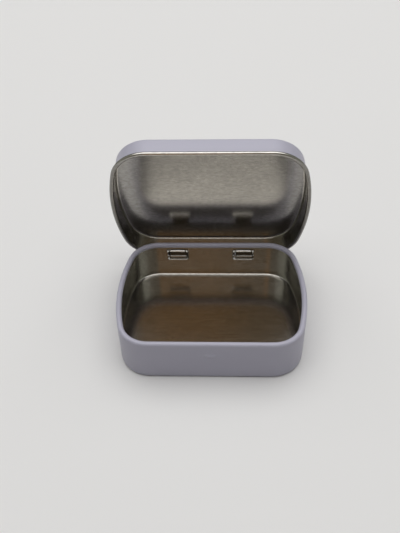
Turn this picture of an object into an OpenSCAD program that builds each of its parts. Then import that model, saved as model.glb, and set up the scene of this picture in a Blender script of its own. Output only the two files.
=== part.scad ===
// Mini hinged tin: a pressed tray and a shallow lid that swings on two tabs
// curled round bars in the tray's back wall. Millimetres. The origin is the
// centre of the tray's underside, +X to the right, +Y to the hinge, +Z up.

/* [Sheet] */
// Thickness of the tinplate
sheet = 0.25; // [0.2:0.01:0.3]

/* [Tray] */
// Width of the tray over its bowed short sides
tray_w = 56.4; // [50:0.1:75]
// Depth of the tray, front to back
tray_d = 44.0; // [40:0.1:60]
// Height of the tray to the top of its rim
tray_h = 14.0; // [13:0.1:20]
// Radius of the tray's corners in plan
corner_r = 9.4; // [7:0.1:10]
// Half the angle that the bow of a short side spans in plan
bow_angle = 13.9; // [12:0.1:18]
// Outer radius of the edge between wall and floor
foot_r = 1.1; // [0.7:0.05:1.5]
// Width of the rim, which is rolled inwards
rim_w = 1.65; // [1.3:0.05:1.9]
// Length of the closing pip pressed into the front wall
pip_len = 3.0; // [2:0.1:5]
// Radius of the pip's rounded back
pip_r = 0.55; // [0.45:0.01:0.6]
// How far the pip stands proud of the wall
pip_proud = 0.25; // [0.15:0.01:0.4]
// Height of the pip's middle
pip_z = 9.3; // [9:0.05:9.6]

/* [Lid] */
// How far the lid's hem stands outside the tray on every side
overhang = 1.9; // [1.8:0.05:2.2]
// Outer width of the rolled hem
hem_w = 1.25; // [1.1:0.01:1.3]
// Height from the hem's lower edge to the top of the panel
lid_h = 7.1; // [6.8:0.05:8]
// Outer radius of the edge between skirt and panel
edge_r = 0.9; // [0.6:0.05:1.5]

/* [Hinge] */
// Distance between the middles of the two hinges
hinge_span = 21.6; // [18:0.1:25]
// Offset of the windows and bars from the tray's middle
hinge_offset = -0.8; // [-0.8:0.05:0]
// How far the lid has slid along the bars, within the play of its tabs
lid_slide = 0.3; // [0.3:0.01:0.35]
// Height of the hinge axis above the table
axis_h = 7.6; // [7:0.1:8]
// Radius of the bar that each tab curls round
bar_r = 0.5; // [0.4:0.01:0.55]
// Radial clearance between bar and curl
bar_fit = 0.05; // [0.02:0.01:0.1]
// Angle of the bar that the curl wraps
curl_wrap = 280; // [240:1:300]
// Width of a lid tab
tab_w = 5.8; // [5:0.1:6]
// Play of a tab in its window, on each side
tab_play = 0.4; // [0.35:0.05:0.6]
// Height of the window above the bar's axis
window_above = 2.8; // [2.4:0.1:3.2]
// Clearance of the curl above the window's lower edge
curl_gap = 0.05; // [0.03:0.01:0.1]
// Height of the hem's lower edge when the lid is closed
hem_z = 9.1; // [9:0.05:9.4]
// Angle at which the lid stands open at rest
open_angle = 76.5; // [0:0.5:106.5]

/* [Hidden] */
$fn = 180;
slop = 0.5;                                   // over-run of a cut beyond its wall
skim = 0.1;                                   // over-run where a face lies close behind
thousandth = 0.001;
hundredth = 0.01;
lap_start = 0.1;                              // strips end this far from a corner's centre
lap = 0.1;                                    // and the middle laps over them by this
corner_y = tray_d / 2 - corner_r;             // centre of a corner arc
arc_gap = corner_y / sin(bow_angle);          // from a side arc's centre to a corner's
side_r = corner_r + arc_gap;
// Centres of a corner's arc, to a thousandth, and of the right short side's arc
corner_x = rounded(tray_w / 2 - side_r + arc_gap * cos(bow_angle), thousandth);
side_x = corner_x - arc_gap * cos(bow_angle);
rim_r = rim_w / 2;
lid_corner_r = corner_r + overhang;
hem_r = hem_w / 2;
skirt_in = hem_w - sheet;                     // from hem edge to skirt face
curl_r = bar_r + bar_fit;                     // inside of the curl
skirt_y = tray_d / 2 + overhang - skirt_in;   // outer face of the lid's back skirt
axis_y = skirt_y - sheet - curl_r;            // so that a neck hangs straight from it
window_w = tab_w + 2 * tab_play;
window_low = axis_h - curl_r - sheet - curl_gap;
window_top = axis_h + window_above;
bar_end = 0.6;                                // stretch of bar inside the wall, each end
notch_relief = 0.3;                           // cut beside a tab
notch_above = 0.1;                            // and above the hem's roll
notch_h = hem_w + notch_above;
lip_r = 14;                                   // arch of the lip over a window
lip_t = 0.3;
lip_depth = 0.55;
lip_lap = 0.2;                                // lip beyond the window, on each side
lip_w = window_w + 2 * lip_lap;
tab_xs = [for (side = [-1, 1]) side * hinge_span / 2];
hinge_xs = [for (x = tab_xs) x + hinge_offset];

function rounded(value, step) = round(value / step) * step;

// Carries a wall profile round the outline. The profile is drawn with x as the
// distance inwards from the outline and y as the height. grow moves the outline
// outwards: every arc keeps its centre, so tray and lid stay concentric.
module around(grow = 0) {
    for (sx = [0, 1], sy = [0, 1])
        mirror([sx, 0, 0]) mirror([0, sy, 0]) translate([corner_x, corner_y, 0])
            rotate_extrude(angle = 90 - bow_angle, start = bow_angle)
                flipped(corner_r + grow) children();
    for (sx = [0, 1])
        mirror([sx, 0, 0]) place(side_x, 0)
            rotate_extrude(angle = 2 * bow_angle, start = -bow_angle)
                flipped(side_r + grow) children();
    for (sy = [0, 1])
        mirror([0, sy, 0]) translate([-corner_x, 0, 0]) rotate([90, 0, 90])
            linear_extrude(2 * corner_x) flipped(tray_d / 2 + grow) children();
}

// Turns "distance inwards" into a radius or a y position.
module flipped(reach) { place(reach, 0) mirror([1, 0]) children(); }

// Moves by a rounded step and then by the small rest of it, so that arcs of
// different centres still meet face to face where numbers are written out short.
module place(x, y) {
    whole = [rounded(x, hundredth), rounded(y, hundredth)];
    translate(whole) translate([x, y] - whole) children();
}

// Fills the middle that the swept strips leave open, at one height. It has the
// outline's own bowed sides and laps over the strips' inner ends.
module middle(z) {
    reach = lap_start + lap;
    intersection() {
        translate([-tray_w, -corner_y - reach, z]) cube([2 * tray_w, 2 * (corner_y + reach), sheet]);
        between_side_arcs(z, reach);
    }
}

// What lies inside both side arcs, moved outwards by grow.
module between_side_arcs(z, grow) {
    intersection() {
        translate([side_x, 0, z - slop]) cylinder(r = arc_gap + grow, h = sheet + 2 * slop);
        translate([-side_x, 0, z - slop]) cylinder(r = arc_gap + grow, h = sheet + 2 * slop);
    }
}

module ring(r) { difference() { circle(r); circle(r - sheet); } }

// Rolled edge: a ring with the quadrant towards [qx, qy] left open.
module roll(r, qx, qy) {
    difference() {
        ring(r);
        translate([qx > 0 ? 0 : -2 * r, qy > 0 ? 0 : -2 * r]) square(2 * r);
    }
}

// Quarter of a ring in the quadrant [qx, qy].
module quarter(r, qx, qy) {
    intersection() {
        ring(r);
        translate([qx > 0 ? 0 : -2 * r, qy > 0 ? 0 : -2 * r]) square(2 * r);
    }
}

module tray_profile() {
    translate([rim_r, tray_h - rim_r]) roll(rim_r, -1, -1);
    translate([0, foot_r]) square([sheet, tray_h - rim_r - foot_r]);
    translate([foot_r, foot_r]) quarter(foot_r, -1, -1);
    translate([foot_r, 0]) square([corner_r - lap_start - foot_r, sheet]);
}

module lid_profile() {
    panel_in = skirt_in + edge_r;
    translate([hem_r, hem_r]) roll(hem_r, 1, 1);
    translate([skirt_in, hem_r]) square([sheet, lid_h - edge_r - hem_r]);
    translate([panel_in, lid_h - edge_r]) quarter(edge_r, -1, 1);
    translate([panel_in, lid_h - sheet]) square([lid_corner_r - lap_start - panel_in, sheet]);
}

// Bar across a window: a strip of the wall cut free and pressed round.
module bar(x) {
    length = window_w + 2 * bar_end;
    translate([x - length / 2, axis_y, axis_h]) rotate([0, 90, 0])
        cylinder(r = bar_r, h = length);
}

// Arched lip turned inwards over a window.
module lip(x) {
    wall_in = tray_d / 2 - sheet;
    intersection() {
        translate([x, wall_in + sheet / 2, window_top + lip_t - lip_r]) rotate([90, 0, 0])
            difference() {
                cylinder(r = lip_r, h = lip_depth + sheet / 2);
                translate([0, 0, -slop]) cylinder(r = lip_r - lip_t, h = lip_depth + 2 * slop);
            }
        translate([x - lip_w / 2, wall_in - lip_depth - slop, window_top - slop])
            cube([lip_w, lip_depth + 2 * slop, lip_t + 2 * slop]);
    }
}

// Round-ended ridge along X, centred on the origin.
module ridge(length, r) {
    translate([-length / 2, 0, 0]) rotate([0, 90, 0]) cylinder(r = r, h = length);
    for (side = [-1, 1]) translate([side * length / 2, 0, 0]) sphere(r = r);
}

module tray() {
    pip_y = -(tray_d / 2 + pip_proud - pip_r);
    color("lavender") difference() {
        union() {
            around() tray_profile();
            middle(0);
            for (x = hinge_xs) lip(x);
            translate([0, pip_y, pip_z]) ridge(pip_len - 2 * pip_r, pip_r);
        }
        for (x = hinge_xs)
            translate([x - window_w / 2, tray_d / 2 - sheet - skim, window_low])
                cube([window_w, sheet + slop, window_top - window_low]);
        translate([0, pip_y, pip_z]) ridge(pip_len - 2 * pip_r, pip_r - sheet);
        translate([-pip_len, -tray_d / 2 + sheet, pip_z - pip_r - slop])
            cube([2 * pip_len, 2 * pip_r, 2 * pip_r + 2 * slop]);
    }
    color("lavender") for (x = hinge_xs) bar(x);
}

// Tab of the lid, drawn about the hinge axis with the lid closed: a neck that
// hangs from the skirt and curls under the bar, up inside and over its top.
module tab() {
    neck_top = hem_z + notch_h - axis_h;
    reach = 2 * (curl_r + sheet);                 // beyond the ring, so that the cut is clean
    cut_end = 360 - curl_wrap;
    translate([0, 0, -tab_w / 2]) linear_extrude(tab_w) {
        translate([curl_r, 0]) square([sheet, neck_top + sheet]);
        difference() {
            ring(curl_r + sheet);
            polygon([[0, 0], [reach, 0], [reach, reach], reach * [cos(cut_end), sin(cut_end)]]);
        }
    }
}

module closed_lid() {
    translate([0, 0, hem_z]) difference() {
        union() {
            around(overhang) lid_profile();
            middle(lid_h - sheet);
        }
        for (x = tab_xs)
            translate([x - tab_w / 2 - notch_relief, skirt_y - sheet - slop / 2, -slop])
                cube([tab_w + 2 * notch_relief, hem_w + slop, notch_h + slop]);
    }
    for (x = tab_xs)
        translate([x, axis_y, axis_h]) rotate([90, 0, 90]) tab();
}

module lid() {
    color("whitesmoke") translate([hinge_offset + lid_slide, axis_y, axis_h])
        rotate([-open_angle, 0, 0]) translate([0, -axis_y, -axis_h]) closed_lid();
}

tray();
lid();
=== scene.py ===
# %% [markdown]
# # A small hinged tin, from sheet metal to studio picture
# The real object is two pressings of tinplate, a quarter of a millimetre thick: a
# tray with its rim rolled inwards, and a lid with its hem rolled outwards. Each is
# white enamel outside and bare metal inside. A single skin with a Solidify modifier
# would give the thickness too, but it pinches in rolls as tight as these. So each
# becomes one closed mesh that follows the sheet all the way round: over the outside,
# round the rolled edge and back along the inside.

# %% Load the fixed frame
import math

import bmesh
import bpy
import numpy as np
from mathutils import Matrix, Vector


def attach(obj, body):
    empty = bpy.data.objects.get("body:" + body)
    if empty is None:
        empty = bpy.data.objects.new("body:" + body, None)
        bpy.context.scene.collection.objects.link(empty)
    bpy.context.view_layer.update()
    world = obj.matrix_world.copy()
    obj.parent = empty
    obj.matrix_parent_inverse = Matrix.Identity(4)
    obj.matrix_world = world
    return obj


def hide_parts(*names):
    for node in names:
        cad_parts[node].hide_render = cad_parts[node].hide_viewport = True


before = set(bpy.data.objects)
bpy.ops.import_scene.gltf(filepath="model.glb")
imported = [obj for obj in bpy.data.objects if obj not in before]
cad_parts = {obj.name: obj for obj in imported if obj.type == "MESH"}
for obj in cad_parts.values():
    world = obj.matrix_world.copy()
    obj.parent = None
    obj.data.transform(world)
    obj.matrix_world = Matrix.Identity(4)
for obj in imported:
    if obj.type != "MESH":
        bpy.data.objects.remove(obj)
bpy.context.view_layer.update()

# %% [markdown]
# ## Sizes
# All sizes are real ones in millimetres, as a tinsmith's drawing would give them. They
# could be read off the construction model's box, but then the rolls and gaps would be
# guesses. So its driving sizes are repeated here, and only the last step of each mesh
# turns them into metres. Lip, sill and the slit beside a tab are finer here than
# there, because only light shows them.

# %% Driving sizes, in millimetres
MM = 0.001
SHEET = 0.25
TRAY_W, TRAY_D, TRAY_H = 56.4, 44.0, 14.0
CORNER_R = 9.4
BOW_ANGLE = math.radians(13.9)
FOOT_R = 1.1
RIM_W = 1.65
OVERHANG = 1.9
HEM_W = 1.25
LID_H = 7.1
EDGE_R = 0.9
HEM_Z = 9.1
HINGE_SPAN, HINGE_OFFSET, LID_SLIDE = 21.6, -0.8, 0.3
AXIS_Z = 7.6
BAR_R, BAR_FIT = 0.5, 0.05
CURL_WRAP = math.radians(280)
TAB_W, TAB_PLAY = 5.8, 0.4
# The slit beside a tab: its width, as fine as a punch leaves it, because light from
# behind would shine through a wider one, and how far it runs on above the hem's roll.
NOTCH_RELIEF, NOTCH_ABOVE = 0.08, 0.1
WINDOW_ABOVE, CURL_GAP = 2.8, 0.05
OPEN_ANGLE = math.radians(76.5)
PIP_LEN, PIP_R, PIP_PROUD, PIP_Z = 3.0, 0.55, 0.25, 9.3
# The lip over a window: radius of its arch, thickness, depth, width, height above the
# window, and how deep its root sits in the wall.
LIP_R, LIP_T, LIP_DEPTH, LIP_W, LIP_RISE, LIP_ROOT = 22.0, 0.24, 0.95, 7.0, 0.35, 0.06
# The sill under it: thickness, depth, drop below the window, distance from the wall's
# inside, and how much shorter than the window it is.
SILL_T, SILL_DEPTH, SILL_DROP, SILL_IN, SILL_SHORT = 0.1, 0.26, 0.1, 0.1, 0.1
EDGE_TILT = math.radians(38)

# %% Sizes that follow from them
CORNER_Y = TRAY_D / 2 - CORNER_R
ARC_GAP = CORNER_Y / math.sin(BOW_ANGLE)
SIDE_R = CORNER_R + ARC_GAP
CORNER_X = TRAY_W / 2 - SIDE_R + ARC_GAP * math.cos(BOW_ANGLE)
SIDE_X = CORNER_X - ARC_GAP * math.cos(BOW_ANGLE)
SKIRT_IN = HEM_W - SHEET
CURL_R = BAR_R + BAR_FIT
AXIS_Y = TRAY_D / 2 + OVERHANG - SKIRT_IN - CURL_R - SHEET
NOTCH_H = HEM_W + NOTCH_ABOVE
WINDOW_W = TAB_W + 2 * TAB_PLAY
WINDOW_LOW = AXIS_Z - CURL_R - SHEET - CURL_GAP
WINDOW_TOP = AXIS_Z + WINDOW_ABOVE
TAB_XS = np.array([-1, 1]) * HINGE_SPAN / 2
WINDOW_XS = TAB_XS + HINGE_OFFSET
print(f"tray {TRAY_W} x {TRAY_D} x {TRAY_H} mm, closed height {HEM_Z + LID_H:.2f} mm")

# %% [markdown]
# ## The outline
# Seen from above, tray and lid share one outline: straight long sides, round corners
# and short sides that bow outwards a little. Every arc of a wall that lies further in
# or out has the same centre. A bevelled curve could carry a wall round it, but its
# rings crowd together in the corners. So one station on the outline is a point and the
# normal there, and a wall at any distance inwards is the point moved along that normal.


# %% Stations on the outline
SIDE_POINTS, CORNER_POINTS, LONG_POINTS = 29, 27, 45
DIGITS = 6  # heights and positions are rounded to this, so that equal ones meet


def outline(back_marks, front_marks):
    """Points and outward normals round the outline, anticlockwise from the right.

    A point on an arc is its centre plus the radius times (cos a, sin a), and the
    normal is (cos a, sin a). On the straight long sides x runs evenly between the
    corner centres and the normal is plain +Y or -Y. The marks are x positions on
    the back and front sides that have to have a station of their own.
    """
    side = np.linspace(-BOW_ANGLE, BOW_ANGLE, SIDE_POINTS)[:-1]
    corner = np.linspace(BOW_ANGLE, math.pi / 2, CORNER_POINTS)[:-1]
    even = np.linspace(-CORNER_X, CORNER_X, LONG_POINTS)
    back = np.unique(np.r_[even, back_marks].round(DIGITS))[::-1][:-1]
    front = np.unique(np.r_[even, front_marks].round(DIGITS))[:-1]
    angle = np.r_[
        side,
        corner,
        np.full(len(back), math.pi / 2),
        math.pi - corner[::-1] - (corner[1] - corner[0]),
        side + math.pi,
        math.pi + corner,
        np.full(len(front), 1.5 * math.pi),
        2 * math.pi - corner[::-1] - (corner[1] - corner[0]),
    ]
    normal = np.c_[np.cos(angle), np.sin(angle)]
    sizes = [len(side), len(corner), len(back), len(corner)]
    sizes += [len(side), len(corner), len(front), len(corner)]
    part = np.repeat(np.arange(8), sizes)
    radius = np.select([part % 4 == 0, part % 2 == 1], [SIDE_R, CORNER_R], TRAY_D / 2)
    centre_x = np.select(
        [part == 0, part == 4, (part == 1) | (part == 7), (part == 3) | (part == 5)],
        [SIDE_X, -SIDE_X, CORNER_X, -CORNER_X],
        0.0,
    )
    centre_y = np.select(
        [(part == 1) | (part == 3), (part == 5) | (part == 7)], [CORNER_Y, -CORNER_Y], 0.0
    )
    point = np.c_[centre_x, centre_y] + radius[:, None] * normal
    point[part == 2, 0] = back
    point[part == 6, 0] = front
    return point, normal


print(f"outline: {len(outline([], [])[0])} stations without marks")


# %% Strokes of a profile
def arc(centre, radius, start, end, count):
    """Points (inset, height) on an arc: centre + radius (cos a, sin a), degrees."""
    a = np.radians(np.linspace(start, end, count))
    return np.c_[centre[0] + radius * np.cos(a), centre[1] + radius * np.sin(a)]


def line(start, end, count):
    """Evenly spaced points (inset, height) from start to end."""
    return np.linspace(start, end, count)


def heights(inset, low, high, marks, step=1.0):
    """A straight wall at one inset, with a row at every step and at each mark."""
    even = np.linspace(low, high, max(2, int(abs(high - low) / step)))
    z = np.unique(np.r_[even, marks].round(DIGITS))
    z = z if high > low else z[::-1]
    return np.c_[np.full(len(z), inset), z]


# %% [markdown]
# ## From a wall profile to a closed sheet
# A profile is a list of rows, each an inset and a height. Carrying it round the
# outline gives a grid of points. The rows start at a pole in the middle of the
# outside and end at a pole in the middle of the inside, so the grid is a closed bag
# with a thin wall. A Boolean could cut the windows, but it leaves ragged faces beside
# them. So the faces in a window are left out, and short strips join the outer and the
# inner rows round the hole, just as a punch leaves a cut edge.


# %% Faces of a grid
def grid_faces(rows, columns, keep):
    """Quads between neighbouring rows and columns of a grid whose columns close.

    Vertex number = row * columns + column. keep is a mask of rows - 1 by columns
    that says which quads are there.
    """
    r, c = np.meshgrid(np.arange(rows - 1), np.arange(columns), indexing="ij")
    after = (c + 1) % columns
    quads = np.stack(
        [r * columns + c, (r + 1) * columns + c, (r + 1) * columns + after, r * columns + after],
        axis=-1,
    )
    return quads[keep], r[keep]


def strip(first, second):
    """Quads between two rows of vertex numbers of the same length."""
    return np.stack([first[:-1], second[:-1], second[1:], first[1:]], axis=-1)


def sheet_faces(count, columns, keep, outer_rows):
    """Faces of a swept sheet with its two poles, and whether each is outside."""
    quads, row = grid_faces(count, columns, keep)
    first, last = count * columns, count * columns + 1
    ring = np.arange(columns)
    after = (ring + 1) % columns
    fan_out = np.c_[np.full(columns, first), ring, after]
    base = (count - 1) * columns
    fan_in = np.c_[np.full(columns, last), base + after, base + ring]
    faces = quads.tolist() + fan_out.tolist() + fan_in.tolist()
    outside = np.r_[row < outer_rows - 1, np.ones(columns, bool), np.zeros(columns, bool)]
    return faces, outside


# %% A piece from points and faces
def make_piece(name, points, faces, part, materials, cut_faces=0, painted_shade=None):
    """A mesh object from points in millimetres, with one material number per face.

    The last cut_faces faces are cut edges of the sheet. They are shaded flat, which also keeps
    the corner between them and the sheet sharp. The painted shade, from 0 to 1 at each point, is
    kept for the material.
    """
    mesh = bpy.data.meshes.new(name)
    mesh.from_pydata((points * MM).tolist(), [], faces)
    for material in materials:
        mesh.materials.append(material)
    mesh.polygons.foreach_set("material_index", np.asarray(part, np.int32))
    smooth = np.arange(len(faces)) < len(faces) - cut_faces
    mesh.polygons.foreach_set("use_smooth", smooth)
    layer = mesh.attributes.new("painted_shade", "FLOAT", "POINT")
    layer.data.foreach_set("value", np.zeros(len(points)) if painted_shade is None else painted_shade)
    shape = bmesh.new()
    shape.from_mesh(mesh)
    unjoined = sum(not edge.is_contiguous for edge in shape.edges)
    volume = shape.calc_volume(signed=True) / MM**3
    shape.free()
    print(f"{name}: {len(faces)} faces, {unjoined} unjoined edges, {volume:.1f} mm3")
    piece = bpy.data.objects.new(name, mesh)
    bpy.context.scene.collection.objects.link(piece)
    return piece


# %% Carry a profile round the outline
def sweep(profile, shrink, point, normal, grow):
    """Carries profile rows round the outline.

    Position = (1 - shrink) * (outline point + (grow - inset) * normal), with the
    row's height as z. shrink draws the last rows together towards the middle.
    """
    offset = grow - profile[:, 0]
    plan = point[None] + offset[:, None, None] * normal[None]
    plan = plan * (1 - shrink)[:, None, None]
    z = np.broadcast_to(profile[:, 1][:, None, None], plan.shape[:2] + (1,))
    return np.concatenate([plan, z], axis=2)


def to_middle(inset, height, count):
    """Rows of a flat middle: same inset, shrinking towards the centre."""
    shrink = np.linspace(0, 1, count + 1)[1:-1]
    return np.c_[np.full(len(shrink), inset), np.full(len(shrink), height)], shrink


# %% [markdown]
# ## The tray's sheet
# The real tray is drawn from a flat blank in one stroke of a press, and its rim is then
# rolled inwards, so that no cut edge meets a finger. It could be a box with a bevel, but
# the roll is what the rim's highlight comes from. So the profile runs under the floor,
# round the foot, up the outside, over the rolled rim to the sheet's edge, back through
# the inside of the roll, and down to the floor.

# %% Tray profile
RIM_R = RIM_W / 2
RIM_Z = TRAY_H - RIM_R
# Inset at which the flat middle starts, just before the centres of the corner arcs.
FLAT_IN = 9.0
MIDDLE_ROWS, FLOOR_ROWS, FOOT_ROWS, RIM_ROWS = 14, 9, 9, 29
# The pip's pillow, whose flanks run out past the solid pip, and the rows across it.
PIP_HALF_LEN, PIP_HALF_HIGH = 0.58 * PIP_LEN, 1.35 * PIP_R
PIP_ROWS = PIP_Z + np.linspace(-0.75, 0.75, 13)
PIP_COLUMNS = np.linspace(-PIP_LEN / 2, PIP_LEN / 2, 17) * 1.15
# The punch rolls a window's lower edge over. Smooth shading shows that, as far as the
# next row of the wall, so there are rows this far above and below a window.
ROLLOVER = 0.2
WINDOW_MARKS = [WINDOW_LOW - ROLLOVER, WINDOW_LOW, WINDOW_TOP, WINDOW_TOP + ROLLOVER]
WALL_MARKS = np.r_[WINDOW_MARKS, PIP_ROWS]


def tray_rows():
    """Rows of the tray from the outside pole to the inside pole."""
    under, under_shrink = to_middle(FLAT_IN, 0.0, MIDDLE_ROWS)
    inner, inner_shrink = to_middle(FLAT_IN, SHEET, MIDDLE_ROWS)
    outside = [
        line((FLAT_IN, 0), (FOOT_R, 0), FLOOR_ROWS)[:-1],
        arc((FOOT_R, FOOT_R), FOOT_R, 270, 180, FOOT_ROWS)[:-1],
        heights(0, FOOT_R, RIM_Z, WALL_MARKS)[:-1],
        arc((RIM_R, RIM_Z), RIM_R, 180, -90, RIM_ROWS),
    ]
    inside = [
        arc((RIM_R, RIM_Z), RIM_R - SHEET, -90, 180, RIM_ROWS)[:-1],
        heights(SHEET, RIM_Z, FOOT_R, WALL_MARKS)[:-1],
        arc((FOOT_R, FOOT_R), FOOT_R - SHEET, 180, 270, FOOT_ROWS)[:-1],
        line((FOOT_R, SHEET), (FLAT_IN, SHEET), FLOOR_ROWS),
    ]
    outer, inner_wall = np.vstack([under[::-1], *outside]), np.vstack([*inside, inner])
    shrink = np.r_[under_shrink[::-1], np.zeros(len(outer) - len(under))]
    back = np.r_[np.zeros(len(inner_wall) - len(inner)), inner_shrink]
    return np.vstack([outer, inner_wall]), np.r_[shrink, back], len(outer)


print(f"tray profile: {len(tray_rows()[0])} rows, rim roll {RIM_R:.3f} mm in radius")


# %% The closing pip
def pip_bulge(x, z):
    """How far the closing pip stands out: a smooth pillow, proud at its middle.

    With u and v from -1 to 1 along and across it, the bulge is proud times
    (1 - u^4)^2 (1 - v^2)^2, which ends level with the wall.
    """
    across = np.clip(1 - (x / PIP_HALF_LEN) ** 4, 0, 1)
    up = np.clip(1 - ((z - PIP_Z) / PIP_HALF_HIGH) ** 2, 0, 1)
    return PIP_PROUD * across**2 * up**2


# %% Build the tray
OUTSIDE, INSIDE, CUT = 0, 1, 2  # places in a sheet's list of materials
STRAIGHT = 0.999  # a normal with more than this along Y is on a straight long side
CLOSE = 1e-5


def ends_of(middles, width):
    """Left and right end of each stretch of this width, in one row."""
    return (middles[:, None] + np.array([-0.5, 0.5]) * width).ravel()


def first_true(mask):
    """Number of a mask's first true entry."""
    return int(np.flatnonzero(mask)[0])


def build_tray(materials):
    """The tray: the swept sheet with its pip, and two windows in the back wall.

    A window leaves out the quads between its lower and upper row and its left and
    right station, outside and inside. Strips of cut edge join the two sides there.
    """
    edges = ends_of(WINDOW_XS, WINDOW_W).round(DIGITS)
    point, normal = outline(edges, PIP_COLUMNS)
    profile, shrink, outer_rows = tray_rows()
    grid = sweep(profile, shrink, point, normal, 0.0)
    rows, columns = grid.shape[:2]
    on_wall = profile[:, 0] < SHEET + CLOSE
    front_wall = (normal[None, :, 1] < -STRAIGHT) & on_wall[:, None]
    grid[:, :, 1] -= np.where(front_wall, pip_bulge(grid[:, :, 0], grid[:, :, 2]), 0)
    on_back = normal[:, 1] > STRAIGHT
    keep = np.ones((rows - 1, columns), bool)
    z = profile[:, 1].round(DIGITS)
    inset = profile[:, 0]
    ends = round(WINDOW_LOW, DIGITS), round(WINDOW_TOP, DIGITS)
    out_low, out_top = (first_true((z == v) & (inset == 0)) for v in ends)
    in_low, in_top = (first_true((z == v) & (inset == SHEET)) for v in ends)
    sills, rims = [], []
    for left, right in edges.reshape(-1, 2):
        first = first_true(on_back & (np.abs(point[:, 0] - right) < CLOSE))
        last = first_true(on_back & (np.abs(point[:, 0] - left) < CLOSE))
        keep[out_low:out_top, first:last] = False
        keep[in_top:in_low, first:last] = False
        across = np.arange(first, last + 1)
        up_out = np.arange(out_low, out_top + 1) * columns
        up_in = np.arange(in_top, in_low + 1)[::-1] * columns
        sills.append(strip(out_low * columns + across, in_low * columns + across))
        rims.append(strip(in_top * columns + across, out_top * columns + across))
        rims.append(strip(up_in + first, up_out + first))
        rims.append(strip(up_out + last, up_in + last))
    faces, outside = sheet_faces(rows, columns, keep, outer_rows)
    sills, rims = np.vstack(sills), np.vstack(rims)
    points = np.vstack([grid.reshape(-1, 3), [[0, 0, 0], [0, 0, SHEET]]])
    cut = np.full(len(sills) + len(rims), CUT)
    part = np.r_[np.where(outside, OUTSIDE, INSIDE), cut]
    outward = [face[::-1] for face in faces + sills.tolist() + rims.tolist()]
    # The lower edges come before the flat ones, because they are shaded smooth.
    return make_piece("tray_sheet", points, outward, part, materials, len(rims))


# %% [markdown]
# ## The lid's sheet
# The real lid is drawn like the tray, but its edge is rolled outwards, and before that
# two tabs are left standing at the back, which are curled round the tray's bars. Tabs
# could be pieces of their own, but then a seam would show where they leave the skirt.
# So the lid is one sheet: the same rows that roll the hem run down the neck and round
# the bar at a tab, and beside each tab a slit parts the two. It is made closed, where
# its sizes are plain, and its points are then swung open about the hinge axis.

# %% Lid profile
SKIRT_TOP = LID_H - EDGE_R
PANEL_IN = SKIRT_IN + EDGE_R
# Inset at which the flat middle starts, just before the centres of the corner arcs.
LID_FLAT = CORNER_R + OVERHANG - 0.2
LID_MIDDLE_ROWS, PANEL_ROWS, EDGE_ROWS, HEM_POINTS = 18, 12, 13, 33
HEM_ROWS = HEM_POINTS + 1
SHADE_FADE = 0.5  # the painted shade behind a window fades out over this height above the slit


def lid_rows():
    """Rows of the lid: from the outside pole to the hem, and on to the inside pole."""
    over, over_shrink = to_middle(LID_FLAT, LID_H, LID_MIDDLE_ROWS)
    inner, inner_shrink = to_middle(LID_FLAT, LID_H - SHEET, LID_MIDDLE_ROWS)
    outside = [
        line((LID_FLAT, LID_H), (PANEL_IN, LID_H), PANEL_ROWS)[:-1],
        arc((PANEL_IN, SKIRT_TOP), EDGE_R, 90, 180, EDGE_ROWS)[:-1],
        heights(SKIRT_IN, SKIRT_TOP, NOTCH_H, []),
    ]
    inside = [
        heights(HEM_W, NOTCH_H, SKIRT_TOP, [NOTCH_H + SHADE_FADE])[:-1],
        arc((PANEL_IN, SKIRT_TOP), EDGE_R - SHEET, 180, 90, EDGE_ROWS)[:-1],
        line((PANEL_IN, LID_H - SHEET), (LID_FLAT, LID_H - SHEET), PANEL_ROWS),
    ]
    outer, inner_side = np.vstack([over[::-1], *outside]), np.vstack([*inside, inner])
    shrink_out = np.r_[over_shrink[::-1], np.zeros(len(outer) - len(over))]
    shrink_in = np.r_[np.zeros(len(inner_side) - len(inner)), inner_shrink]
    return outer, shrink_out, inner_side, shrink_in


print(f"lid profile: {len(lid_rows()[0]) + len(lid_rows()[2])} rows without hem and tabs")


# %% Hem and tabs
def hem_path(radius):
    """Hem as a row of (inset, height): down the skirt and three quarters round."""
    centre = (HEM_W / 2, HEM_W / 2)
    roll = arc(centre, radius, 0, -270, HEM_POINTS)
    right = centre[0] + radius
    return np.vstack([(right, NOTCH_H), (right, (NOTCH_H + centre[1]) / 2), roll])


def tab_path(radius):
    """Tab as a row of (inset, height): down the neck and round the hinge bar.

    The inset grows inwards, so an angle of 180 degrees points outwards.
    """
    centre = (OVERHANG + TRAY_D / 2 - AXIS_Y, AXIS_Z - HEM_Z)
    curl = arc(centre, radius, 180, 180 + math.degrees(CURL_WRAP), HEM_POINTS)
    left = centre[0] - radius
    return np.vstack([(left, NOTCH_H), (left, NOTCH_H / 2), curl])


# %% Crown of the panel, and the swing
PANEL_CROWN = 0.1


def crown(x, y):
    """The panel's slight dome: highest in the middle and zero at its edges.

    With u and v from -1 to 1 across and along it, the height is the crown times
    (1 - u^4) (1 - v^4).
    """
    across = np.clip(1 - (x / (TRAY_W / 2 + OVERHANG - PANEL_IN)) ** 4, 0, 1)
    along = np.clip(1 - (y / (TRAY_D / 2 + OVERHANG - PANEL_IN)) ** 4, 0, 1)
    return PANEL_CROWN * across * along


def swing_open(points):
    """Turns closed lid points about the hinge axis and moves them over the windows.

    y' = y cos a + z sin a and z' = z cos a - y sin a, measured from the axis.
    """
    y, z = points[:, 1] - AXIS_Y, points[:, 2] + HEM_Z - AXIS_Z
    cos, sin = math.cos(OPEN_ANGLE), math.sin(OPEN_ANGLE)
    x = points[:, 0] + HINGE_OFFSET + LID_SLIDE
    return np.c_[x, AXIS_Y + y * cos + z * sin, AXIS_Z + z * cos - y * sin]
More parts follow.
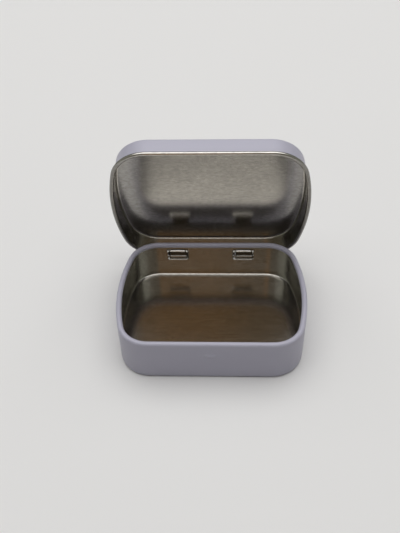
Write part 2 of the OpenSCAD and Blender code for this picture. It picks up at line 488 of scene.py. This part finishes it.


# %% [markdown]
# ## Painted shade on the lid
# Behind each window, on the neck, the curl and the hem's roll beside it, the tin is painted
# nearly black as painted shade, where little light gets into the hinge. The hem's roll is also
# darkened towards the short sides, as far as its normal points along X. A map could be painted
# by hand, but it would have to be painted again when a size changes. So the painted shade is a
# number at each point, worked out from where the point lies, and the metal's material reads it.

# %% Painted shade at each point
# From 0, bare metal, to 1, black.
SHADE_ON_NECK, SHADE_ON_CURL, SHADE_ON_HEM, HEM_SIDE_DARKENING = 0.85, 0.5, 1.0, 0.5
# It reaches this far beside a tab, and fades out over the last stretch of that.
SHADE_REACH, REACH_FADE = 1.0, 0.5


def lid_painted_shade(above, rolled_rows, off_middle, normal):
    """Painted shade at each point of the lid's grid, one row of the profile after the other.

    On the neck and above the slit it is 1 - height / fade, and on rolled rows it has one level
    on the curl and one on the hem. Beside a tab that is multiplied by (reach - distance) / fade.
    On the hem, a level times |normal x| is taken where it is larger, which darkens the short
    sides.
    """
    on_back = normal[:, 1] > STRAIGHT
    on_tab = on_back & (off_middle < TAB_W / 2 + CLOSE)
    neck = SHADE_ON_NECK * np.clip(1 - above / SHADE_FADE, 0, 1)
    rolled = np.where(on_tab, SHADE_ON_CURL, SHADE_ON_HEM)
    hinge_shade = np.where(rolled_rows[:, None], rolled[None, :], neck[:, None])
    beside = on_back * np.clip((TAB_W / 2 + SHADE_REACH - off_middle) / REACH_FADE, 0, 1)
    # The hem's roll is darkened towards the short sides, in proportion to |normal x|.
    side_dark = np.where(rolled_rows[:, None], HEM_SIDE_DARKENING * np.abs(normal[None, :, 0]), 0)
    return np.maximum(hinge_shade * beside[None, :], side_dark)


# %% Build the lid
def build_lid(materials):
    """The lid: panel, rounded edge and skirt, then hem roll or hinge tab.

    Where a station on a tab has a neighbour that isn't, the quads of the rolled rows
    are left out, which is the slit, and strips of cut edge close its two sides.
    """
    tab_edges = ends_of(TAB_XS, TAB_W)
    slit_edges = tab_edges + np.tile([-NOTCH_RELIEF, NOTCH_RELIEF], 2)
    point, normal = outline(np.r_[tab_edges, slit_edges], [])
    off_middle = np.abs(np.abs(point[:, 0]) - HINGE_SPAN / 2)
    on_tab = (normal[:, 1] > STRAIGHT) & (off_middle < TAB_W / 2 + CLOSE)
    outer, shrink_out, inner, shrink_in = lid_rows()

    def carried(profile, shrink=None):
        """Rows of a profile, carried round the lid's outline."""
        shrink = np.zeros(len(profile)) if shrink is None else shrink
        rows = sweep(profile, shrink, point, normal, OVERHANG)
        on_panel = (profile[:, 0] > PANEL_IN)[:, None]
        rows[:, :, 2] += np.where(on_panel, crown(rows[:, :, 0], rows[:, :, 1]), 0)
        return rows

    def rolled(hem, tab):
        """The hem's rows, and the tab's rows where the stations lie on a tab."""
        return np.where(on_tab[None, :, None], carried(tab), carried(hem))

    grid = np.concatenate([
        carried(outer, shrink_out),
        rolled(hem_path(HEM_W / 2 - SHEET)[1:], tab_path(CURL_R + SHEET)[1:]),
        rolled(hem_path(HEM_W / 2)[:0:-1], tab_path(CURL_R)[:0:-1]),
        carried(inner, shrink_in),
    ])
    rows, columns = grid.shape[:2]
    skirt_end, inner_start = len(outer) - 1, len(outer) + 2 * HEM_ROWS
    keep = np.ones((rows - 1, columns), bool)
    going_out = np.arange(skirt_end, skirt_end + HEM_ROWS + 1) * columns
    going_back = np.arange(inner_start, inner_start - HEM_ROWS - 1, -1) * columns
    cuts = []
    for column in np.flatnonzero(on_tab != np.roll(on_tab, -1)):
        keep[skirt_end:inner_start, column] = False
        cuts.append(strip(going_back + column, going_out + column))
        cuts.append(strip(going_out + column + 1, going_back + column + 1))
        cuts.append(strip(
            np.array([skirt_end, skirt_end]) * columns + [column, column + 1],
            np.array([inner_start, inner_start]) * columns + [column, column + 1],
        ))
    faces, outside = sheet_faces(rows, columns, keep, len(outer))
    cuts = np.vstack(cuts)
    top = LID_H + PANEL_CROWN
    points = np.vstack([grid.reshape(-1, 3), [[0, 0, top], [0, 0, top - SHEET]]])
    part = np.r_[np.where(outside, OUTSIDE, INSIDE), np.full(len(cuts), CUT)]
    above = np.r_[np.full(inner_start, np.inf), inner[:, 1] - NOTCH_H]
    above[inner_start - 1] = 0
    rolled_rows = (np.arange(rows) > skirt_end) & (np.arange(rows) < inner_start - 1)
    painted_shade = np.r_[lid_painted_shade(above, rolled_rows, off_middle, normal).ravel(), 0, 0]
    faces += cuts.tolist()
    return make_piece(
        "lid_sheet", swing_open(points), faces, part, materials, len(cuts), painted_shade
    )


# %% [markdown]
# ## Hinge bars, window lips and sills
# Each bar is the strip of wall between two cuts, pressed round in the middle and
# still flat where it runs into the wall. Over each window the wall's edge is turned
# inwards in a flat arch with a small bead at each end, and under it the punch presses
# the edge into a low sill. All three could grow out of the wall's own mesh, but its
# rows would have to bend round every one of them. As tubes along X, whose oval
# section changes with x, they have rows of their own and end in the wall.

# %% Tubes along X
TUBE_SIDES = 24
ROUND = np.linspace(0, 2 * math.pi, TUBE_SIDES, endpoint=False)


def tube_along_x(name, x, size, middle_y, middle_z, round_y, round_z, materials, shade_level=0.0):
    """A closed tube along X.

    Its section at each x is the closed line (round_y, round_z), scaled by the size
    there and moved to the middle there. round_y may be a row for every x.
    """
    y = middle_y[:, None] + size[:, None] * round_y
    z = middle_z[:, None] + size[:, None] * round_z
    sides = y.shape[1]
    grid = np.stack([np.broadcast_to(x[:, None], y.shape), y, z], axis=-1)
    ends = [[x[i], middle_y[i], middle_z[i]] for i in (0, -1)]
    keep = np.ones((len(x) - 1, sides), bool)
    faces, _ = sheet_faces(len(x), sides, keep, len(x))
    outward = [face[::-1] for face in faces]
    points = np.vstack([grid.reshape(-1, 3), ends])
    part = np.zeros(len(faces), int)
    # The last argument is a level of painted shade, the same at every point.
    return make_piece(name, points, outward, part, materials, 0, np.full(len(points), shade_level))


# %% Hinge bars
BAR_STATIONS = 41
# How far a bar runs on into the wall, and the length over which it turns round.
BAR_IN_WALL, BAR_FLAT_END = 0.05, 0.35
BAR_FLAT_HALF = 0.45 * SHEET  # a little less than the wall, so that it ends inside
# How dark the bars are painted: painted shade inside the windows.
SHADE_ON_BAR = 0.35


def build_bar(name, x, materials):
    """One hinge bar: round where the tab curls round it, flat at the wall.

    With t from 0 at the window's end to 1 further in, the section goes from the
    wall's strip to the round bar by the smooth step t^2 (3 - 2 t).
    """
    along = np.linspace(-1, 1, BAR_STATIONS) * (WINDOW_W / 2 + BAR_IN_WALL)
    ramp = np.clip((WINDOW_W / 2 - np.abs(along)) / BAR_FLAT_END, 0, 1)
    ramp = ramp * ramp * (3 - 2 * ramp)
    wall_y = TRAY_D / 2 - SHEET / 2
    middle_y = wall_y + (AXIS_Y - wall_y) * ramp
    half_y = BAR_FLAT_HALF + (BAR_R - BAR_FLAT_HALF) * ramp
    one = np.ones(len(along))
    return tube_along_x(
        name, x + along, one, middle_y, one * AXIS_Z,
        half_y[:, None] * np.cos(ROUND), BAR_R * np.sin(ROUND), materials, SHADE_ON_BAR,
    )


# %% Window lips
LIP_STATIONS = 61
# The bead at a lip's end: its radius, and how much thicker than the lip it is.
BEAD_R, BEAD_SIZE = 0.36, 1.25
# Before the bead the lip narrows to a thread: that part of its size, the length over
# which it narrows, and how far before the bead's middle that length ends.
THREAD, NARROW_LEN, NARROW_END = 0.12, 0.3, 0.47


def tilted_oval(depth, thick):
    """A flat oval |y/a|^4 + |z/b|^4 = 1, tilted to look up and forwards: its y and z."""
    along = np.sign(np.cos(ROUND)) * np.sqrt(np.abs(np.cos(ROUND))) * depth / 2
    across = np.sign(np.sin(ROUND)) * np.sqrt(np.abs(np.sin(ROUND))) * thick / 2
    cos, sin = math.cos(EDGE_TILT), math.sin(EDGE_TILT)
    return along * cos - across * sin, along * sin + across * cos


def build_lip(name, x, materials):
    """One lip: a flat arch over the window, with a bead at each end.

    The section is a tilted oval. The arch drops by R - sqrt(R^2 - x^2). A bead's
    size is sqrt(1 - (d / r)^2) at the distance d from its middle, and the stations
    crowd together towards the beads as the sine does towards a quarter turn.
    """
    bead_x = LIP_W / 2 - BEAD_R
    past = BEAD_R * np.array([0.7, 0.98])
    along = bead_x * np.sin(np.linspace(-1, 1, LIP_STATIONS) * math.pi / 2)
    along = np.r_[-bead_x - past[::-1], along, bead_x + past]
    from_bead = np.abs(np.abs(along) - bead_x)
    bead = np.sqrt(np.clip(1 - (from_bead / BEAD_R) ** 2, 0, 1))
    band = np.clip((bead_x - NARROW_END - np.abs(along)) / NARROW_LEN, THREAD, 1)
    band = np.where(np.abs(along) > bead_x, 0, band)
    size = np.maximum(band, bead * BEAD_SIZE)
    drop = LIP_R - np.sqrt(LIP_R**2 - along**2)
    y, z = tilted_oval(LIP_DEPTH, LIP_T)
    middle_y = TRAY_D / 2 - SHEET - LIP_DEPTH / 2 * math.cos(EDGE_TILT) + LIP_ROOT
    middle_z = WINDOW_TOP + LIP_RISE - drop
    return tube_along_x(
        name, x + along, size, np.full(len(along), middle_y), middle_z, y, z, materials
    )


# %% Window sills
SILL_STATIONS = 25


def build_sill(name, x, materials):
    """One sill: the window's lower edge, which the punch has pressed down and inwards.

    Its size is sqrt(1 - u^6), with u from -1 to 1 along the window, so that it runs
    out at both ends.
    """
    along = np.linspace(-0.5, 0.5, SILL_STATIONS) * (WINDOW_W - SILL_SHORT)
    one = np.ones(len(along))
    size = np.sqrt(1 - (along / (WINDOW_W / 2)) ** 6)
    y, z = tilted_oval(SILL_DEPTH, SILL_T)
    return tube_along_x(
        name, x + along, size, one * (TRAY_D / 2 - SHEET - SILL_IN),
        one * (WINDOW_LOW - SILL_DROP), y, z, materials,
    )


# %% [markdown]
# ## Finishes
# There are three: white enamel outside, bare tinplate inside, and the steel core where
# a cut bares it. Photographs of such surfaces could be laid on, but then their light
# would be painted in. So each finish is noise in the piece's own coordinates, with
# marks of a real size, and light and mirror images are left to the renderer.

# %% Node helpers
PER_MM = 1 / MM  # a noise's Scale is marks per metre, so 2 * PER_MM is two in a millimetre
# Sockets of a Mix node that mixes colours, and settings that several nodes share.
FACTOR, FIRST, SECOND, MIXED = 0, 6, 7, 2
COLOURS, TIMES = {"data_type": "RGBA"}, {"operation": "MULTIPLY"}
SMOOTH = {"interpolation_type": "SMOOTHSTEP"}
SPREAD = {"From_Min": 0.3, "From_Max": 0.7}  # nearly all of a noise lies between these


def linear(hex_colour):
    """A hex sRGB colour as linear RGBA: c/12.92 below 0.04045, else a 2.4 power."""
    c = np.array([int(hex_colour[i : i + 2], 16) for i in (1, 3, 5)]) / 255
    low, high = c / 12.92, ((c + 0.055) / 1.055) ** 2.4
    return (*np.where(c <= 0.04045, low, high), 1.0)


def add_node(tree, kind, settings=None, numbered=None, **inputs):
    """Adds a node. Inputs are values or sockets, by name with _ for a space.

    Inputs that share a name with others are numbered, as the two of a Math node are.
    """
    node = tree.nodes.new(kind)
    for name, value in (settings or {}).items():
        setattr(node, name, value)
    named = {name.replace("_", " "): value for name, value in inputs.items()}
    for key, value in {**named, **(numbered or {})}.items():
        socket = node.inputs[key]
        if isinstance(value, bpy.types.NodeSocket):
            tree.links.new(value, socket)
        else:
            socket.default_value = value
    return node


def new_material(name):
    """An empty material, its node tree and the place of every point on the piece."""
    material = bpy.data.materials.new(name)
    material.use_nodes = True
    tree = material.node_tree
    tree.nodes.clear()
    return material, tree, add_node(tree, "ShaderNodeTexCoord").outputs["Object"]


# %% [markdown]
# ## White enamel
# The sheet is enamelled white on one side and baked before it is pressed. It is nearly
# white with a cool lilac cast, semi-matt, and has a very faint orange peel, as rolled
# paint has. Flat white would look like paper: the slight change of gloss from patch to
# patch is what makes it read as baked paint that has been handled.

# %% Baked white enamel
def make_enamel():
    """Baked white enamel: cool white, semi-matt, with orange peel of about 1 mm."""
    material, tree, place = new_material("baked_white_enamel")
    peel = add_node(
        tree, "ShaderNodeTexNoise", Vector=place, Scale=0.9 * PER_MM, Detail=2.0
    )
    bump = add_node(
        tree, "ShaderNodeBump", Height=peel.outputs["Fac"], Strength=0.05, Distance=0.1 * MM
    )
    # Handling leaves slightly glossier and duller patches a centimetre across.
    patch = add_node(
        tree, "ShaderNodeTexNoise", Vector=place, Scale=0.11 * PER_MM, Detail=4.0
    )
    rough = add_node(
        tree, "ShaderNodeMapRange", Value=patch.outputs["Fac"],
        **SPREAD, To_Min=0.34, To_Max=0.44,
    )
    paint = add_node(
        tree, "ShaderNodeBsdfPrincipled", Base_Color=linear("#B8B6C4"),
        Roughness=rough.outputs["Result"], Normal=bump.outputs["Normal"],
    )
    add_node(tree, "ShaderNodeOutputMaterial", Surface=paint.outputs["BSDF"])
    return material


enamel = make_enamel()
print(f"{enamel.name}: {len(enamel.node_tree.nodes)} nodes")

# %% [markdown]
# ## Bare tinplate
# Steel sheet with a thin coat of tin, left bare inside, on the hem and on the tabs. It
# mirrors its surroundings, softened by the lines that the rolls leave along the strip,
# and the coat is a little uneven, so the mirror image wavers. An anisotropic shader
# could blur along the lines, but it needs tangents on every piece. Lines that are
# really there in bump and roughness do the same from the place of a point alone.

# %% Satin tinplate
def make_tinplate():
    """Bare tinplate: a soft mirror with rolling lines along X.

    Real rolling lines are a hundredth of a millimetre apart. Here they are about
    0.17 mm apart and 5 mm long, as coarse as it takes to show in a picture.
    """
    material, tree, place = new_material("bare_tinplate")
    stretch = add_node(tree, "ShaderNodeMapping", Vector=place, Scale=(0.03, 1.0, 1.0))
    lines = add_node(
        tree, "ShaderNodeTexNoise", Vector=stretch.outputs["Vector"],
        Scale=6.0 * PER_MM, Detail=3.0,
    )
    # The unevenness of the coat: swellings about 14 mm across.
    waver = add_node(
        tree, "ShaderNodeTexNoise", Vector=place, Scale=0.07 * PER_MM, Detail=1.0
    )
    wide = add_node(
        tree, "ShaderNodeBump", Height=waver.outputs["Fac"], Strength=0.35,
        Distance=0.3 * MM,
    )
    fine = add_node(
        tree, "ShaderNodeBump", Height=lines.outputs["Fac"], Strength=0.12,
        Distance=0.01 * MM, Normal=wide.outputs["Normal"],
    )
    rough = add_node(
        tree, "ShaderNodeMapRange", Value=lines.outputs["Fac"],
        **SPREAD, To_Min=0.17, To_Max=0.23,
    )
    # Rolling also leaves a mottle, a little lighter or darker, of streaks that are
    # about 0.6 mm wide and twice as long.
    short = add_node(tree, "ShaderNodeMapping", Vector=place, Scale=(0.5, 1.0, 1.0))
    mottle = add_node(
        tree, "ShaderNodeTexNoise", Vector=short.outputs["Vector"],
        Scale=1.7 * PER_MM, Detail=3.0,
    )
    shade = add_node(
        tree, "ShaderNodeMapRange", Value=mottle.outputs["Fac"],
        **SPREAD, To_Min=0.0, To_Max=1.0,
    )
    tone = add_node(
        tree, "ShaderNodeMix", COLOURS,
        {FACTOR: shade.outputs["Result"], FIRST: linear("#A7A49E"), SECOND: linear("#C1BEB8")},
    )
    metal = add_node(
        tree, "ShaderNodeBsdfPrincipled", Base_Color=tone.outputs[MIXED], Metallic=1.0,
        Roughness=rough.outputs["Result"], Normal=fine.outputs["Normal"],
    )
    # The painted shade, where the piece has any: a matt, nearly black film over the metal.
    painted_shade = add_node(tree, "ShaderNodeAttribute", {"attribute_name": "painted_shade"})
    film = add_node(
        tree, "ShaderNodeBsdfPrincipled", Base_Color=linear("#15140F"), Roughness=0.7
    )
    mix = add_node(
        tree, "ShaderNodeMixShader", None, {1: metal.outputs["BSDF"], 2: film.outputs["BSDF"]},
        Fac=painted_shade.outputs["Fac"],
    )
    add_node(tree, "ShaderNodeOutputMaterial", Surface=mix.outputs["Shader"])
    return material


tinplate = make_tinplate()
print(f"{tinplate.name}: {len(tinplate.node_tree.nodes)} nodes")

# %% [markdown]
# ## Cut steel
# Where the punch goes through, the steel core shows between two skins of tin: duller
# and darker than they are. The edges could share the tinplate's finish, but then every
# cut would catch the light as a bright line, which a real one doesn't.

# %% Steel of a cut edge
def make_cut_steel():
    """The steel core that a cut edge bares: rough, and far darker than the tin coat."""
    material, tree, place = new_material("cut_steel")
    # The punch tears the last part of a cut, which leaves grains of about 0.1 mm.
    torn = add_node(
        tree, "ShaderNodeTexNoise", Vector=place, Scale=8.0 * PER_MM, Detail=2.0
    )
    rough = add_node(
        tree, "ShaderNodeMapRange", Value=torn.outputs["Fac"],
        **SPREAD, To_Min=0.5, To_Max=0.65,
    )
    steel = add_node(
        tree, "ShaderNodeBsdfPrincipled", Base_Color=linear("#625F58"), Metallic=1.0,
        Roughness=rough.outputs["Result"],
    )
    add_node(tree, "ShaderNodeOutputMaterial", Surface=steel.outputs["BSDF"])
    return material


cut_steel = make_cut_steel()
print(f"{cut_steel.name}: {len(cut_steel.node_tree.nodes)} nodes")

# %% [markdown]
# ## Put the pieces together
# The two sheets stand for the construction model's tray and lid, and the small pieces come
# beside them. Each is parented to an empty named after the body it rides on, so that it moves
# with that body.

# %% Dress the tin
tray_sheet = build_tray([enamel, tinplate, cut_steel])
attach(tray_sheet, "tray")
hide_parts("tray")

lid_sheet = build_lid([enamel, tinplate, cut_steel])
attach(lid_sheet, "lid")
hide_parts("lid")

for side, window_x in zip(["left", "right"], WINDOW_XS):
    for piece in (
        build_bar(f"hinge_bar_{side}", window_x, [tinplate]),
        build_lip(f"window_lip_{side}", window_x, [tinplate]),
        build_sill(f"window_sill_{side}", window_x, [tinplate]),
    ):
        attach(piece, "tray")

# %% [markdown]
# ## Table, room and light
# The tin stands on a pale table under one large soft lamp overhead. Bare metal shows
# little but its surroundings, so they matter as much as its finish. They could be a
# picture of a room all round, but that would be one room's own. Instead a ring of
# plain walls, which only mirrored rays see, is warm as wood in front of the tin, dim
# grey-green elsewhere and lighter to the left and right.

# %% What eye and mirrors see
PALE = "#E2E2E4"


def seen_directly(tree):
    """1 for camera, glossy and transmission rays and 0 for the rays that light."""
    path = add_node(tree, "ShaderNodeLightPath").outputs
    add = {"operation": "ADD", "use_clamp": True}
    total = path["Is Camera Ray"]
    for ray in ("Is Glossy Ray", "Is Transmission Ray"):
        total = add_node(tree, "ShaderNodeMath", add, {0: total, 1: path[ray]}).outputs[0]
    return total


# %% The table
TABLE_HALF = 2.0  # metres
FADE_FROM, FADE_TO = 0.25, 0.9  # metres from the tin


def make_table():
    """The table: a matt board, pale to the eye and to mirrors, darker as a light.

    Its corners are at (+-half, +-half, 0). Far from the tin, where the lamp doesn't
    reach, it turns into the pale room, so that low views have no dark horizon. Rays
    that light see the board everywhere.
    """
    material, tree, place = new_material("matt_table")
    seen = seen_directly(tree)
    tone = add_node(
        tree, "ShaderNodeMix", COLOURS,
        {FACTOR: seen, FIRST: linear("#BDBCBA"), SECOND: linear("#EDECEA")},
    )
    matt = add_node(
        tree, "ShaderNodeBsdfPrincipled", Base_Color=tone.outputs[MIXED], Roughness=0.9
    )
    away = add_node(tree, "ShaderNodeVectorMath", {"operation": "LENGTH"}, {0: place})
    far = add_node(
        tree, "ShaderNodeMapRange", SMOOTH, Value=away.outputs["Value"],
        From_Min=FADE_FROM, From_Max=FADE_TO, To_Min=0.0, To_Max=1.0,
    )
    fade = add_node(tree, "ShaderNodeMath", TIMES, {0: far.outputs["Result"], 1: seen})
    glow = add_node(tree, "ShaderNodeEmission", Color=linear(PALE), Strength=1.0)
    mix = add_node(
        tree, "ShaderNodeMixShader", None, {1: matt.outputs["BSDF"], 2: glow.outputs[0]},
        Fac=fade.outputs["Value"],
    )
    add_node(tree, "ShaderNodeOutputMaterial", Surface=mix.outputs["Shader"])
    signs = np.array([(-1, -1, 0), (1, -1, 0), (1, 1, 0), (-1, 1, 0)])
    mesh = bpy.data.meshes.new("table")
    mesh.from_pydata((signs * TABLE_HALF).tolist(), [], [(0, 1, 2, 3)])
    mesh.materials.append(material)
    table = bpy.data.objects.new("table", mesh)
    bpy.context.scene.collection.objects.link(table)


# %% The walls of the room
ROOM_R, ROOM_H, ROOM_SIDES = 0.9, 1.15, 48  # metres
WOOD, DIM_WALL, LIGHT_WALL = "#A68053", "#626359", "#A6A89E"
# How far to the front the wood begins and is full, how far to the sides the walls turn
# light, and where the top turns pale, in parts of the room's radius or height.
WOOD_Y, LIGHT_X, PALE_Z = (-0.45, -0.85), (0.6, 1.0), (0.9, 1.0)
# Where the wood begins and is full to the right and to the left, in metres, and how
# much of it is left beyond.
WOOD_X, WOOD_BEYOND = ((0.10, -0.02), (-0.26, -0.12)), 0.18


def make_room_finish():
    """The walls' colour: wood in front of the tin, where -y is largest, else grey-green.

    The wood is the product of a ramp along y and two along x. The grey-green turns
    lighter with |x|, and towards the top all of it turns into the pale world.
    """
    material, tree, place = new_material("room_walls")
    axes = add_node(tree, "ShaderNodeSeparateXYZ", Vector=place).outputs
    aside = add_node(tree, "ShaderNodeMath", {"operation": "ABSOLUTE"}, {0: axes["X"]})
    warm, light, upper = (
        add_node(
            tree, "ShaderNodeMapRange", SMOOTH, Value=along, From_Min=start * size,
            From_Max=full * size, To_Min=0.0, To_Max=1.0,
        ).outputs["Result"]
        for along, (start, full), size in (
            (axes["Y"], WOOD_Y, ROOM_R),
            (aside.outputs["Value"], LIGHT_X, ROOM_R),
            (axes["Z"], PALE_Z, ROOM_H),
        )
    )
    for start, full in WOOD_X:
        side = add_node(
            tree, "ShaderNodeMapRange", SMOOTH, Value=axes["X"], From_Min=start,
            From_Max=full, To_Min=WOOD_BEYOND, To_Max=1.0,
        ).outputs["Result"]
        warm = add_node(tree, "ShaderNodeMath", TIMES, {0: warm, 1: side}).outputs["Value"]
    tone = linear(DIM_WALL)
    for factor, colour in ((light, LIGHT_WALL), (warm, WOOD), (upper, PALE)):
        sockets = {FACTOR: factor, FIRST: tone, SECOND: linear(colour)}
        tone = add_node(tree, "ShaderNodeMix", COLOURS, sockets).outputs[MIXED]
    glow = add_node(tree, "ShaderNodeEmission", Color=tone, Strength=1.0)
    add_node(tree, "ShaderNodeOutputMaterial", Surface=glow.outputs["Emission"])
    return material


def make_room():
    """The walls round the table: points at radius (cos a, sin a), at floor and top.

    Only mirrored rays see them.
    """
    a = np.linspace(0, 2 * math.pi, ROOM_SIDES, endpoint=False)
    low = np.c_[ROOM_R * np.cos(a), ROOM_R * np.sin(a), np.zeros(ROOM_SIDES)]
    mesh = bpy.data.meshes.new("room_walls")
    faces, _ = grid_faces(2, ROOM_SIDES, np.ones((1, ROOM_SIDES), bool))
    mesh.from_pydata(np.vstack([low, low + [0, 0, ROOM_H]]).tolist(), [], faces.tolist())
    mesh.materials.append(make_room_finish())
    room = bpy.data.objects.new("room_walls", mesh)
    bpy.context.scene.collection.objects.link(room)
    room.visible_camera = False
    room.visible_diffuse = False
    room.visible_transmission = False
    room.visible_shadow = False


# %% World and lamp
DIM_WORLD = 0.27


def make_world():
    """A pale room for what the eye and mirrors see, dimmer as a source of light."""
    world = bpy.data.worlds.new("pale_room")
    bpy.context.scene.world = world
    world.use_nodes = True
    tree = world.node_tree
    tree.nodes.clear()
    pale = add_node(tree, "ShaderNodeBackground", Color=linear(PALE), Strength=1.0)
    dim = add_node(tree, "ShaderNodeBackground", Color=linear(PALE), Strength=DIM_WORLD)
    mix = add_node(
        tree, "ShaderNodeMixShader", None, {1: dim.outputs[0], 2: pale.outputs[0]},
        Fac=seen_directly(tree),
    )
    add_node(tree, "ShaderNodeOutputWorld", Surface=mix.outputs["Shader"])


def make_lamp(name, centre, target, size, power):
    """A square soft lamp at centre that shines towards target, metres and watts."""
    light = bpy.data.lights.new(name, "AREA")
    light.shape = "SQUARE"
    light.size = size
    light.energy = power
    lamp = bpy.data.objects.new(name, light)
    lamp.location = centre
    aim = Vector(target) - Vector(centre)
    lamp.rotation_euler = aim.to_track_quat("-Z", "Y").to_euler()
    bpy.context.scene.collection.objects.link(lamp)


# %% [markdown]
# ## Camera
# The photograph was taken from the front, looking down at about 42 degrees. A camera
# could be placed by eye, but then every proportion would be judged through its error.
# So its place, turn and lens were worked out from the tin's own outline, which is
# known from its sizes: rim, wall, hem and crease fall on those of the photograph.

# %% Camera at the photo's viewing angle
CAMERA_AT = np.array([3.949, -134.010, 143.629]) * MM
CAMERA_TURN = np.radians([41.953, -3.053, -1.903])  # pitch, yaw and roll
LENS, SENSOR = 42.264, 36.0  # millimetres
NEAR = 0.005  # metres: nothing closer is drawn


def make_camera():
    """The camera, from its place, its turn and its lens.

    The view axis f points down by the pitch and turns by the yaw. r is level and to
    the right of it and u = r x f. The roll turns r and u about f.
    """
    pitch, yaw, roll = CAMERA_TURN
    ahead = np.array([
        math.sin(yaw) * math.cos(pitch), math.cos(yaw) * math.cos(pitch), -math.sin(pitch)
    ])
    level = np.array([math.cos(yaw), -math.sin(yaw), 0])
    up = np.cross(level, ahead)
    right = math.cos(roll) * level + math.sin(roll) * up
    above = math.cos(roll) * up - math.sin(roll) * level
    data = bpy.data.cameras.new("camera")
    data.lens = LENS
    data.sensor_width = SENSOR
    data.clip_start = NEAR
    camera = bpy.data.objects.new("camera", data)
    matrix = np.eye(4)
    matrix[:3, :3] = np.c_[right, above, -ahead]
    matrix[:3, 3] = CAMERA_AT
    camera.matrix_world = Matrix(matrix.tolist())
    bpy.context.scene.collection.objects.link(camera)
    bpy.context.scene.camera = camera


# %% Set the stage
make_table()
make_room()
make_world()
make_lamp("overhead", centre=(0, 0.35, 1.2), target=(0, 0.35, 0), size=1.9, power=17.2)
make_camera()
bpy.context.scene.view_settings.view_transform = "Standard"
